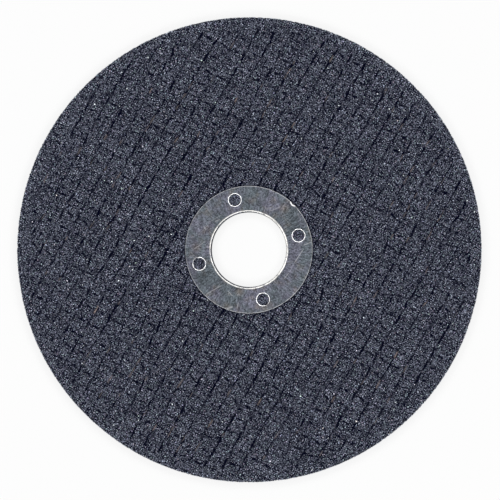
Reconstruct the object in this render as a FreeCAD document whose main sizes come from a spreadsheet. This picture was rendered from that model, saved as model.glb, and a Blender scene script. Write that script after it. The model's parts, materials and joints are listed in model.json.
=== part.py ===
"""Flat cut-off wheel: a moulded disc of bonded abrasive grain with a pressed steel ring in its bore.

The wheel lies on its back face. The origin is on the bore's axis in the plane of the back face,
+Z points out of the front face, and every length is in millimetres.

The disc is moulded round two glass-fibre cloths, one under each face. The yarns leave furrows in
the faces: deep ones over the pairs of warp yarns, and shallower ones over the weft yarns. The
cloths are cut smaller than the wheel, so a plain margin is left at the rim.

The ring is pressed from sheet and moulded into the front face, so the disc takes its seat from
the ring's own sizes. The collar lines the bore, and the drawn lips of the pierced holes bite into
the grain and keep the ring from turning.
"""

import FreeCAD
import Part
import Sketcher

import math
import operator
import os

DOCUMENT = "CutOffWheel"
SHEET = "Sizes"

# Driving dimensions: alias, value, what it is. Lengths are in millimetres, angles in degrees.
SIZES = [
    ("wheel_diameter", 100.0, "outside diameter of the wheel"),
    ("wheel_thickness", 1.6, "from the back face to the front face"),
    ("rim_bevel", 0.12, "bevel of the moulded edges of the rim"),
    ("bore_diameter", 16.0, "clear diameter inside the ring's collar"),
    ("flange_width", 5.7, "from the bore to the edge of the ring's flange"),
    ("sheet_thickness", 0.3, "sheet that the ring is pressed from"),
    ("bend_radius", 0.2, "inside radius of the bend from flange to collar"),
    ("flange_proud", 0.05, "height of the flange above the front face"),
    ("flange_bevel", 0.08, "bevel of the flange's blanked edge"),
    ("collar_setback", 0.2, "from the back face up to the end of the collar"),
    ("barb_turn", 15.9, "angle of the first pierced hole from +X"),
    ("barb_count", 4, "number of pierced holes"),
    ("barb_hole", 2.5, "clear diameter of a pierced hole"),
    ("barb_mouth_round", 0.28, "radius of the drawn mouth of a pierced hole"),
    ("barb_reach", 0.45, "length of a drawn lip below the flange"),
    ("lip_root", 0.22, "wall of a drawn lip at the flange"),
    ("lip_tip", 0.08, "wall of a drawn lip at its torn edge"),
    ("nick_turn", 46.2, "angle of the nick in the flange's edge from +X"),
    ("nick_radius", 0.7, "radius of the tool mark that made the nick"),
    ("nick_depth", 0.16, "how far the nick cuts into the flange"),
    ("cloth_margin", 2.3, "from the edge of the cloths to the rim"),
    ("warp_turn", 59.9, "direction of the warp yarns from +X"),
    ("warp_pitch", 3.37, "distance from one pair of warp yarns to the next"),
    ("warp_offset", 1.82, "distance of the first pair of warp yarns from the bore's axis"),
    ("warp_furrow", 0.62, "width of the furrow over a pair of warp yarns"),
    ("warp_depth", 0.14, "depth of the furrow over a pair of warp yarns"),
    ("weft_turn", -27.3, "direction of the weft yarns from +X"),
    ("weft_pitch", 3.16, "distance from one weft yarn to the next"),
    ("weft_offset", 1.58, "distance of the first weft yarn from the bore's axis"),
    ("weft_furrow", 0.5, "width of the furrow over a weft yarn"),
    ("weft_depth", 0.09, "depth of the furrow over a weft yarn"),
]

FULL_TURN = 360
QUARTER_TURN = 90
UP = FreeCAD.Vector(0, 0, 1)
UPRIGHT_IN_SKETCH = FreeCAD.Vector(0, 1, 0)

# The sketcher's numbers for the sketch's own axes and for the points of a line, an arc or a circle
LEVEL_AXIS, UPRIGHT_AXIS = -1, -2
START, END, CENTRE = 1, 2, 3
ORIGIN_POINT = (LEVEL_AXIS, START)

OPERATIONS = {"+": operator.add, "-": operator.sub, "*": operator.mul, "/": operator.truediv}


class Size:
    """A number together with the expression that binds it to the spreadsheet."""

    def __init__(self, value, text):
        self.value = value
        self.text = text

    def combine(self, sign, other):
        """The size and another size or number, added, subtracted, multiplied or divided."""
        other = other if isinstance(other, Size) else Size(other, str(other))
        value = OPERATIONS[sign](self.value, other.value)
        return Size(value, f"({self.text} {sign} {other.text})")

    def __add__(self, other):
        return self.combine("+", other)

    def __sub__(self, other):
        return self.combine("-", other)

    def __mul__(self, other):
        return self.combine("*", other)

    def __truediv__(self, other):
        return self.combine("/", other)

    def whole(self):
        """The size rounded down to a whole number."""
        return Size(math.floor(self.value), f"floor({self.text})")


def make_sheet(doc):
    """Writes the driving dimensions into a spreadsheet and returns them as sizes."""
    sheet = doc.addObject("Spreadsheet::Sheet", SHEET)
    sizes = {}
    for row, (alias, value, meaning) in enumerate(SIZES, start=1):
        sheet.set(f"A{row}", meaning)
        sheet.set(f"B{row}", str(value))
        sheet.setAlias(f"B{row}", alias)
        sizes[alias] = Size(value, f"{SHEET}.{alias}")
    doc.recompute()
    return sizes


def add_shared_places(sizes):
    """Works out the places that the ring and the disc share, so that they always meet."""
    sizes["wheel_radius"] = sizes["wheel_diameter"] / 2
    sizes["cloth_radius"] = sizes["wheel_radius"] - sizes["cloth_margin"]
    sizes["bore_radius"] = sizes["bore_diameter"] / 2
    sizes["collar_radius"] = sizes["bore_radius"] + sizes["sheet_thickness"]
    sizes["ring_radius"] = sizes["bore_radius"] + sizes["flange_width"]
    sizes["flange_top"] = sizes["wheel_thickness"] + sizes["flange_proud"]
    sizes["seat_height"] = sizes["flange_top"] - sizes["sheet_thickness"]
    flat_of_flange = sizes["collar_radius"] + sizes["bend_radius"]
    sizes["barb_radius"] = (flat_of_flange + sizes["ring_radius"]) / 2


def set_bound(item, property_path, size):
    """Sets a property to a size and binds it to the spreadsheet."""
    if "." not in property_path:
        setattr(item, property_path, size.value)
    item.setExpression(property_path, size.text)


def own_datum(body, role):
    """One of the body's own origin planes or axes, such as XZ_Plane."""
    return next(item for item in body.Origin.OriginFeatures if item.Role == role)


def new_sketch(body, name, plane):
    """A sketch on one of the body's own origin planes."""
    sketch = body.newObject("Sketcher::SketchObject", name)
    sketch.AttachmentSupport = [(own_datum(body, plane), "")]
    sketch.MapMode = "FlatFace"
    return sketch


def turn_sketch(sketch, axis, turn):
    """Turns a sketch about an axis through its origin."""
    sketch.AttachmentOffset = FreeCAD.Placement(FreeCAD.Vector(), FreeCAD.Rotation(axis, turn.value))
    set_bound(sketch, "AttachmentOffset.Rotation.Angle", turn)


def bind(sketch, name, size, *where):
    """Adds a named constraint to a sketch and binds its value to the spreadsheet."""
    index = sketch.addConstraint(Sketcher.Constraint(*where, size.value))
    sketch.renameConstraint(index, name)
    sketch.setExpression(f"Constraints.{name}", size.text)


def draw_polygon(sketch, points):
    """Draws a closed polygon and returns its lines, each of which starts at the point of its number."""
    lines = []
    for start, end in zip(points, points[1:] + points[:1]):
        segment = Part.LineSegment(FreeCAD.Vector(*start), FreeCAD.Vector(*end))
        lines.append(sketch.addGeometry(segment))
    for i, line in enumerate(lines):
        sketch.addConstraint(Sketcher.Constraint("Coincident", lines[i - 1], END, line, START))
    return lines


def draw_circle(sketch, away, radius):
    """Draws a circle with its centre on the sketch's level axis."""
    circle = Part.Circle(FreeCAD.Vector(away.value, 0, 0), UP, radius.value)
    index = sketch.addGeometry(circle)
    sketch.addConstraint(Sketcher.Constraint("PointOnObject", index, CENTRE, LEVEL_AXIS))
    bind(sketch, "centre", away, "DistanceX", *ORIGIN_POINT, index, CENTRE)
    bind(sketch, "radius", radius, "Radius", index)


def draw_square_outline(sketch, sides):
    """Draws a closed outline of upright and level lines, each bound at its distance from the origin.

    A side is (name, kind, place, corner): kind is "upright" or "level", place is its distance,
    or None where it lies on the sketch's own axis, and corner is the radius at the side's far end.
    """
    lines = [sketch.addGeometry(Part.LineSegment(*ends)) for ends in square_outline_ends(sides)]
    for i, (name, kind, place, corner) in enumerate(sides):
        line = lines[i]
        following = lines[(i + 1) % len(lines)]
        upright = kind == "upright"
        sketch.addConstraint(Sketcher.Constraint("Vertical" if upright else "Horizontal", line))
        if place is None:
            axis = UPRIGHT_AXIS if upright else LEVEL_AXIS
            sketch.addConstraint(Sketcher.Constraint("PointOnObject", line, START, axis))
        else:
            bind(sketch, name, place, "DistanceX" if upright else "DistanceY", *ORIGIN_POINT, line, START)
        if corner is None:
            sketch.addConstraint(Sketcher.Constraint("Coincident", line, END, following, START))
        else:
            bind(sketch, f"{name}_corner", corner, "Radius", draw_corner(sketch, line, following))


def square_outline_ends(sides):
    """The two ends of each side of a square outline, drawn back where a corner is round."""
    corners = []
    for i, (_, kind, place, _) in enumerate(sides):
        following = sides[(i + 1) % len(sides)][2]
        here = place.value if place else 0
        there = following.value if following else 0
        corners.append((here, there) if kind == "upright" else (there, here))
    ends = []
    for i, side in enumerate(sides):
        start = FreeCAD.Vector(*corners[i - 1])
        end = FreeCAD.Vector(*corners[i])
        along = (end - start).normalize()
        before = sides[i - 1][3]
        after = side[3]
        start += along * (before.value if before else 0)
        end -= along * (after.value if after else 0)
        ends.append((start, end))
    return ends


def draw_corner(sketch, line, following):
    """Joins the end of one line to the start of the next, square to it, by a tangent quarter arc."""
    start = sketch.Geometry[line].EndPoint
    end = sketch.Geometry[following].StartPoint
    along = (start - sketch.Geometry[line].StartPoint).normalize()
    centre = end - along * (end - start).dot(along)
    left_turn = (start - centre).cross(end - centre).z > 0
    first = start - centre if left_turn else end - centre
    begin = math.atan2(first.y, first.x)
    circle = Part.Circle(centre, UP, first.Length)
    arc = sketch.addGeometry(Part.ArcOfCircle(circle, begin, begin + math.pi / 2))
    near, far = (START, END) if left_turn else (END, START)
    sketch.addConstraint(Sketcher.Constraint("Tangent", line, END, arc, near))
    sketch.addConstraint(Sketcher.Constraint("Tangent", arc, far, following, START))
    return arc


def draw_lip_section(sketch, sizes):
    """Draws the section of one drawn lip, and the upright axis of its pierced hole."""
    axis_place = sizes["barb_radius"]
    top = sizes["seat_height"]
    tip = top - sizes["barb_reach"]
    inside = axis_place + sizes["barb_hole"] / 2
    root = inside + sizes["lip_root"]
    torn = inside + sizes["lip_tip"]

    ends = [FreeCAD.Vector(axis_place.value, height.value) for height in (tip, top)]
    axis = sketch.addGeometry(Part.LineSegment(*ends), True)
    sketch.addConstraint(Sketcher.Constraint("Vertical", axis))
    bind(sketch, "hole_axis", axis_place, "DistanceX", *ORIGIN_POINT, axis, START)
    bind(sketch, "axis_foot", tip, "DistanceY", *ORIGIN_POINT, axis, START)
    bind(sketch, "axis_head", top, "DistanceY", *ORIGIN_POINT, axis, END)

    places = [(inside, tip), (torn, tip), (root, top), (inside, top)]
    lines = draw_polygon(sketch, [(across.value, height.value) for across, height in places])
    for i, (across, height) in enumerate(places):
        bind(sketch, f"across_{i}", across, "DistanceX", *ORIGIN_POINT, lines[i], START)
        bind(sketch, f"height_{i}", height, "DistanceY", *ORIGIN_POINT, lines[i], START)


def turn_profile(body, kind, name, sketch, axis):
    """A full turn of a sketch about an axis, added to the body or taken from it."""
    feature = body.newObject(kind, name)
    feature.Profile = sketch
    feature.ReferenceAxis = axis
    feature.Angle = FULL_TURN
    return feature


def turn_about_bore(body, kind, name, sketch):
    """A full turn of a sketch about the bore's axis."""
    return turn_profile(body, kind, name, sketch, (own_datum(body, "Z_Axis"), [""]))


def turn_lip(body, kind, name, sizes):
    """One drawn lip, or the slot that it leaves in the grain, turned about its pierced hole's axis."""
    sketch = new_sketch(body, f"{name}Section", "XZ_Plane")
    turn_sketch(sketch, UPRIGHT_IN_SKETCH, sizes["barb_turn"])
    draw_lip_section(sketch, sizes)
    return turn_profile(body, kind, name, sketch, (sketch, ["Axis0"]))


def punch_round(body, name, turn, away, radius):
    """A round hole through everything, with its centre at a distance and a turn from the bore's axis."""
    sketch = new_sketch(body, f"{name}Outline", "XY_Plane")
    turn_sketch(sketch, UP, turn)
    draw_circle(sketch, away, radius)
    pocket = body.newObject("PartDesign::Pocket", name)
    pocket.Profile = sketch
    pocket.Type = "ThroughAll"
    pocket.SideType = "Symmetric"
    return pocket


def repeat_about_bore(body, name, features, count):
    """Repeats features at even turns about the bore's axis."""
    pattern = body.newObject("PartDesign::PolarPattern", name)
    pattern.Originals = features
    pattern.Axis = (own_datum(body, "Z_Axis"), [""])
    pattern.Angle = FULL_TURN
    set_bound(pattern, "Occurrences", count)
    body.Tip = pattern


def dress_edges(doc, body, kind, name, base, circles, size):
    """Rounds or bevels the circular edges of a feature that have the given radii and heights."""
    doc.recompute()
    names = [edge for radius, height in circles for edge in level_circles(base.Shape, radius, height)]
    dressed = body.newObject(kind, name)
    dressed.Base = (base, names)
    set_bound(dressed, "Radius" if kind.endswith("Fillet") else "Size", size)
    body.Tip = dressed


def level_circles(shape, radius, height):
    """The names of a shape's circular edges of one radius at one height."""
    nearly = 1e-4
    names = []
    for number, edge in enumerate(shape.Edges, start=1):
        curve = edge.Curve
        if not isinstance(curve, Part.Circle):
            continue
        if abs(curve.Radius - radius.value) < nearly and abs(curve.Center.z - height.value) < nearly:
            names.append(f"Edge{number}")
    return names


def make_ring(doc, sizes):
    """The pressed ring: flange, bend and collar turned from one section, then pierced and nicked."""
    body = doc.addObject("PartDesign::Body", "BoreRing")
    body.Label = "bore_ring"
    body.Placement = FreeCAD.Placement()

    bend_outside = sizes["bend_radius"] + sizes["sheet_thickness"]
    section = new_sketch(body, "RingSection", "XZ_Plane")
    draw_square_outline(
        section,
        [
            ("collar_outside", "upright", sizes["collar_radius"], sizes["bend_radius"]),
            ("flange_underside", "level", sizes["seat_height"], None),
            ("flange_edge", "upright", sizes["ring_radius"], None),
            ("flange_face", "level", sizes["flange_top"], bend_outside),
            ("collar_inside", "upright", sizes["bore_radius"], None),
            ("collar_end", "level", sizes["collar_setback"], None),
        ],
    )
    sheet = turn_about_bore(body, "PartDesign::Revolution", "PressedSheet", section)
    edge = [(sizes["ring_radius"], sizes["flange_top"])]
    dress_edges(doc, body, "PartDesign::Chamfer", "BlankedEdge", sheet, edge, sizes["flange_bevel"])

    lip = turn_lip(body, "PartDesign::Revolution", "DrawnLip", sizes)
    hole = punch_round(body, "PiercedHole", sizes["barb_turn"], sizes["barb_radius"], sizes["barb_hole"] / 2)
    repeat_about_bore(body, "PiercedHoles", [lip, hole], sizes["barb_count"])

    nick_place = sizes["ring_radius"] + sizes["nick_radius"] - sizes["nick_depth"]
    nick = punch_round(body, "EdgeNick", sizes["nick_turn"], nick_place, sizes["nick_radius"])
    mouths = [(sizes["barb_hole"] / 2, sizes["flange_top"])]
    dress_edges(doc, body, "PartDesign::Fillet", "DrawnMouths", nick, mouths, sizes["barb_mouth_round"])
    return body


def make_blank(doc, sizes):
    """The moulded disc before its furrows: turned, with the ring's seat and the slots of its lips."""
    body = doc.addObject("PartDesign::Body", "MouldedBlank")
    body.Label = "moulded_blank"
    section = new_sketch(body, "DiscSection", "XZ_Plane")
    draw_square_outline(
        section,
        [
            ("back_face", "level", None, None),
            ("rim", "upright", sizes["wheel_radius"], None),
            ("front_face", "level", sizes["wheel_thickness"], None),
            ("seat_wall", "upright", sizes["ring_radius"], None),
            ("seat_floor", "level", sizes["seat_height"], sizes["bend_radius"]),
            ("bore_wall", "upright", sizes["collar_radius"], None),
        ],
    )
    turned = turn_about_bore(body, "PartDesign::Revolution", "TurnedDisc", section)
    rim_edges = [(sizes["wheel_radius"], height) for height in (Size(0, "0"), sizes["wheel_thickness"])]
    dress_edges(doc, body, "PartDesign::Chamfer", "RimEdges", turned, rim_edges, sizes["rim_bevel"])

    slot = turn_lip(body, "PartDesign::Groove", "LipSlot", sizes)
    repeat_about_bore(body, "LipSlots", [slot], sizes["barb_count"])
    return body


def draw_furrow_section(sketch, sizes, yarn, face):
    """Draws the section of one furrow: a triangle with its tip in the grain.

    The flanks run on outside the face for as far as the furrow is deep, so the triangle's base is
    twice as wide as the furrow.
    """
    depth = sizes[f"{yarn}_depth"]
    half_base = sizes[f"{yarn}_furrow"]
    front = face == "front"
    tip = sizes["wheel_thickness"] - depth if front else depth
    base = tip + depth * 2 if front else tip - depth * 2
    corners = [(0, tip.value), (half_base.value, base.value), (-half_base.value, base.value)]
    to_right, across, _ = draw_polygon(sketch, corners)
    rise = (to_right, START, to_right, END) if front else (to_right, END, to_right, START)
    sketch.addConstraint(Sketcher.Constraint("PointOnObject", to_right, START, UPRIGHT_AXIS))
    sketch.addConstraint(Sketcher.Constraint("Symmetric", across, START, across, END, UPRIGHT_AXIS))
    bind(sketch, f"{face}_tip", tip, "DistanceY", *ORIGIN_POINT, to_right, START)
    bind(sketch, f"{face}_rise", depth * 2, "DistanceY", *rise)
    bind(sketch, f"{face}_base", half_base * 2, "DistanceX", across, END, across, START)


def make_furrow_bars(doc, sizes, yarn, faces):
    """Bars of the furrows' section, side by side, that cover the cloth along one set of yarns."""
    pitch = sizes[f"{yarn}_pitch"]
    each_side = (sizes["cloth_radius"] / pitch).whole() + 1
    body = doc.addObject("PartDesign::Body", f"{yarn.capitalize()}Bars")
    body.Label = f"{yarn}_bars"

    sketch = new_sketch(body, f"{yarn.capitalize()}Section", "XZ_Plane")
    set_bound(sketch, "AttachmentOffset.Base.x", sizes[f"{yarn}_offset"] - each_side * pitch)
    for face in faces:
        draw_furrow_section(sketch, sizes, yarn, face)

    bar = body.newObject("PartDesign::Pad", f"{yarn.capitalize()}Bar")
    bar.Profile = sketch
    bar.SideType = "Symmetric"
    set_bound(bar, "Length", sizes["cloth_radius"] * 2)

    row = body.newObject("PartDesign::LinearPattern", f"{yarn.capitalize()}Row")
    row.Originals = [bar]
    row.Direction = (sketch, ["H_Axis"])
    row.Mode = "Spacing"
    set_bound(row, "Offset", pitch)
    set_bound(row, "Occurrences", each_side * 2 + 1)
    body.Tip = row

    square_to_yarns = sizes[f"{yarn}_turn"] + QUARTER_TURN
    body.Placement = FreeCAD.Placement(FreeCAD.Vector(), FreeCAD.Rotation(UP, square_to_yarns.value))
    set_bound(body, "Placement.Rotation.Angle", square_to_yarns)
    return body


def make_cloth_round(doc, sizes):
    """The round that the cloths are cut to, tall enough to take in the furrows of both faces."""
    below = sizes["wheel_thickness"] * -1
    cloth = doc.addObject("Part::Cylinder", "ClothRound")
    set_bound(cloth, "Radius", sizes["cloth_radius"])
    set_bound(cloth, "Height", sizes["wheel_thickness"] * 3)
    set_bound(cloth, "Placement.Base.z", below)
    return cloth


def cut_furrows(doc, sizes, stock, yarn, faces, cloth):
    """Takes one set of furrows out of the stock, as far out as the cloth reaches."""
    inside_cloth = doc.addObject("Part::Common", f"{yarn.capitalize()}BarsInCloth")
    inside_cloth.Base = make_furrow_bars(doc, sizes, yarn, faces)
    inside_cloth.Tool = cloth
    furrowed = doc.addObject("Part::Cut", f"{yarn.capitalize()}Furrows")
    furrowed.Base = stock
    furrowed.Tool = inside_cloth
    return furrowed


def make_disc(doc, sizes):
    """The moulded disc with the furrows of both sets of yarns."""
    cloth = make_cloth_round(doc, sizes)
    blank = make_blank(doc, sizes)
    with_warp = cut_furrows(doc, sizes, blank, "warp", ("front", "back"), cloth)
    disc = cut_furrows(doc, sizes, with_warp, "weft", ("front",), cloth)
    disc.Label = "abrasive_disc"
    return disc


def check(doc, pieces):
    """Stops the script if an object failed or a piece isn't one sound solid."""
    failed = [item.Name for item in doc.Objects if {"Invalid", "Error"} & set(item.State)]
    if failed:
        raise RuntimeError(f"these objects failed: {failed}")
    for piece in pieces:
        shape = piece.Shape
        if shape.isNull() or not shape.isValid() or len(shape.Solids) != 1:
            raise RuntimeError(f"{piece.Label} isn't one valid solid")
        print(f"{piece.Label}: {shape.Volume:.2f} mm3, {len(shape.Faces)} faces")


def write(pieces):
    """Writes each piece to parts/LABEL.step."""
    os.makedirs("parts", exist_ok=True)
    for piece in pieces:
        piece.Shape.exportStep(f"parts/{piece.Label}.step")


def main():
    doc = FreeCAD.newDocument(DOCUMENT)
    sizes = make_sheet(doc)
    add_shared_places(sizes)
    pieces = [make_ring(doc, sizes), make_disc(doc, sizes)]
    doc.recompute()
    check(doc, pieces)
    write(pieces)


main()
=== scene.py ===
"""Looks of the flat cut-off wheel: bonded grain with a woven-cloth imprint, and a tinned steel ring.

The moulded disc is shown as a bed of resin whose two faces follow the yarns of the glass cloths,
with the crushed grain bedded in it and bare glass strands in some of the furrows. The furrows
are darkened by dark resin and by painted shade. The pressed ring keeps its own mesh and gets
its material here, with painted highlights and painted shade at its edges. Lengths in the code
are in millimetres unless they are said to be in metres.
"""

import json
import math

import bpy
import numpy as np
from mathutils import Matrix, Vector


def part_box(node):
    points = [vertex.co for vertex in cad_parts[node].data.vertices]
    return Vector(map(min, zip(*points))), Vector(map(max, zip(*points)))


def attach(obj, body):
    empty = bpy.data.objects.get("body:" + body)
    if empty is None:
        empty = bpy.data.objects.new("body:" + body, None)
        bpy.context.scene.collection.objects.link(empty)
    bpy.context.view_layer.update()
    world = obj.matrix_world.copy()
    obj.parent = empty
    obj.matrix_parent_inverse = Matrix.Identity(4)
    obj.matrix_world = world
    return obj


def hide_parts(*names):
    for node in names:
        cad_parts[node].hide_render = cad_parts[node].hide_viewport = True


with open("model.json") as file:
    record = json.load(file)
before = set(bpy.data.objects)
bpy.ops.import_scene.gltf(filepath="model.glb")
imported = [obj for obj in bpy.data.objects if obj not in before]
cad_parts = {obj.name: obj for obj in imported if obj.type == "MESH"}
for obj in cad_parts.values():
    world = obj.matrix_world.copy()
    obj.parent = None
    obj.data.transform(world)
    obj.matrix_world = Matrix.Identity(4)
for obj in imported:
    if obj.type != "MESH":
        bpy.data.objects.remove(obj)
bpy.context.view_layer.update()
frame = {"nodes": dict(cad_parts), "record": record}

MM = 0.001

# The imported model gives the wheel's sizes
DISC_LOW, DISC_HIGH = (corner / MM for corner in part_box("abrasive_disc"))
RING_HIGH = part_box("bore_ring")[1] / MM
WHEEL_RADIUS = DISC_HIGH.x
FACE_HEIGHT = DISC_HIGH.z
RING_RADIUS = RING_HIGH.x
RING_TOP = RING_HIGH.z
BORE_RADIUS = next(m["dims"]["r_mm"] for m in frame["record"]["mounts"] if m["kind"] == "bore")
SHEET = 0.3
SEAT_HEIGHT = RING_TOP - SHEET
COLLAR_RADIUS = BORE_RADIUS + SHEET
BARB_TURN = 15.9
BARB_PLACE = (COLLAR_RADIUS + 0.2 + RING_RADIUS) / 2
NICK_TURN = 46.2

# The cloths: turns from +X in degrees, pitches and offsets as the furrows of the model have them
WARP_TURN = 59.9
WARP_PITCH = 3.37
WARP_OFFSET = 1.82
WEFT_TURN = -27.3
WEFT_PITCH = 3.16
WEFT_OFFSET = 1.58
CLOTH_RADIUS = WHEEL_RADIUS - 2.3
YARN_WANDER = 0.2
YARN_JITTER = 0.14

# The resin bed lies a little below the grain tops, which make the faces and the rim
BED_DEPTH = 0.09
RIM_DEPTH = 0.12
RIM_BEVEL = 0.14
RIM_ROWS = 5
RIM_ROUGHNESS = 0.07

# The bed leaves a narrow gap beside the ring's edge and its collar, and a groove round the ring
SEAT_WALL = RING_RADIUS + 0.02
BORE_WALL = COLLAR_RADIUS + 0.03
GROOVE_RADIUS = RING_RADIUS + 0.15
GROOVE_WIDTH = 0.2
GROOVE_DEPTH = 0.06

# Places of the mesh's rows within one pitch, measured from the furrow, closer together near it
WARP_ROWS = (-1.42, -1.1, -0.78, -0.5, -0.3, -0.14, 0.0, 0.14, 0.3, 0.5, 0.78, 1.1)
WEFT_ROWS = (-1.4, -1.05, -0.7, -0.4, -0.18, 0.0, 0.18, 0.4, 0.7, 1.05)
BACK_WARP_ROWS = (-1.2, -0.7, -0.3, 0.0, 0.3, 0.7, 1.2)
BACK_WEFT_ROWS = (-1.1, -0.5, 0.0, 0.5, 1.1)

# The grain: spacing and sizes of its centres on each face, on the rim and in the ring's holes
GRAIN_SPACING = 0.44
GRAIN_JITTER = 0.3
BACK_GRAIN_SPACING = 0.66
HOLE_GRAIN_SPACING = 0.27
RIM_GRAIN_COUNT = 3600
GRAIN_SIZES = (0.25, 0.38)
BACK_GRAIN_SIZES = (0.28, 0.46)
RIM_GRAIN_SIZES = (0.22, 0.38)
HOLE_GRAIN_SIZES = (0.24, 0.36)
HOLE_GRAIN_RADIUS = 1.3
HOLE_GRAIN_JITTER = 0.12
HOLE_SHADE = 0.4
# How far a grain's centre lies below its bed's level, and how freely the gaps of the cloth stay open
GRAIN_SINK = (-0.02, 0.05)
GAP_CLEARING = 1.2

# How much of its light a place in the deepest shade of the imprint loses
SHADE_DEPTH = 0.96
# The bed's tone: dark resin, kept darker than the grain also as painted shade between the grains
BED_TONE = (0.32, 0.32, 0.33)

# The photograph's frame, in its pixels, and the wheel's centre in it
PHOTO_SIZE = 500
PIXELS_PER_MM = 4.656
PHOTO_CENTRE = (248.35, 249.18)

# The ring of lamps: number, height in degrees, distance and width in metres, and power of all together
LAMP_COUNT = 8
LAMP_ELEVATION = 42
LAMP_DISTANCE = 0.6
LAMP_SIZE = 0.2
LAMP_POWER = 4.4


class Knots:
    """Random values at the knots of a net laid over the cloth, blended smoothly between the knots."""

    SIDE = 64

    def __init__(self, rng, across, along):
        self.values = rng.uniform(-1, 1, (self.SIDE, self.SIDE))
        self.across = across
        self.along = along

    def at(self, u, v):
        a = np.asarray(u) / self.across
        b = np.asarray(v) / self.along
        i = np.floor(a).astype(int)
        j = np.floor(b).astype(int)
        fa = a - i
        fb = b - j
        fa = fa * fa * (3 - 2 * fa)
        fb = fb * fb * (3 - 2 * fb)
        near = self.knot(i, j) * (1 - fa) + self.knot(i + 1, j) * fa
        far = self.knot(i, j + 1) * (1 - fa) + self.knot(i + 1, j + 1) * fa
        return near * (1 - fb) + far * fb

    def knot(self, i, j):
        return self.values[i % self.SIDE, j % self.SIDE]


def hump(distance, half_width, power=2):
    """One in the middle, falling to nothing about two half widths away."""
    return np.exp(-np.abs(distance / half_width) ** power)


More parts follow.
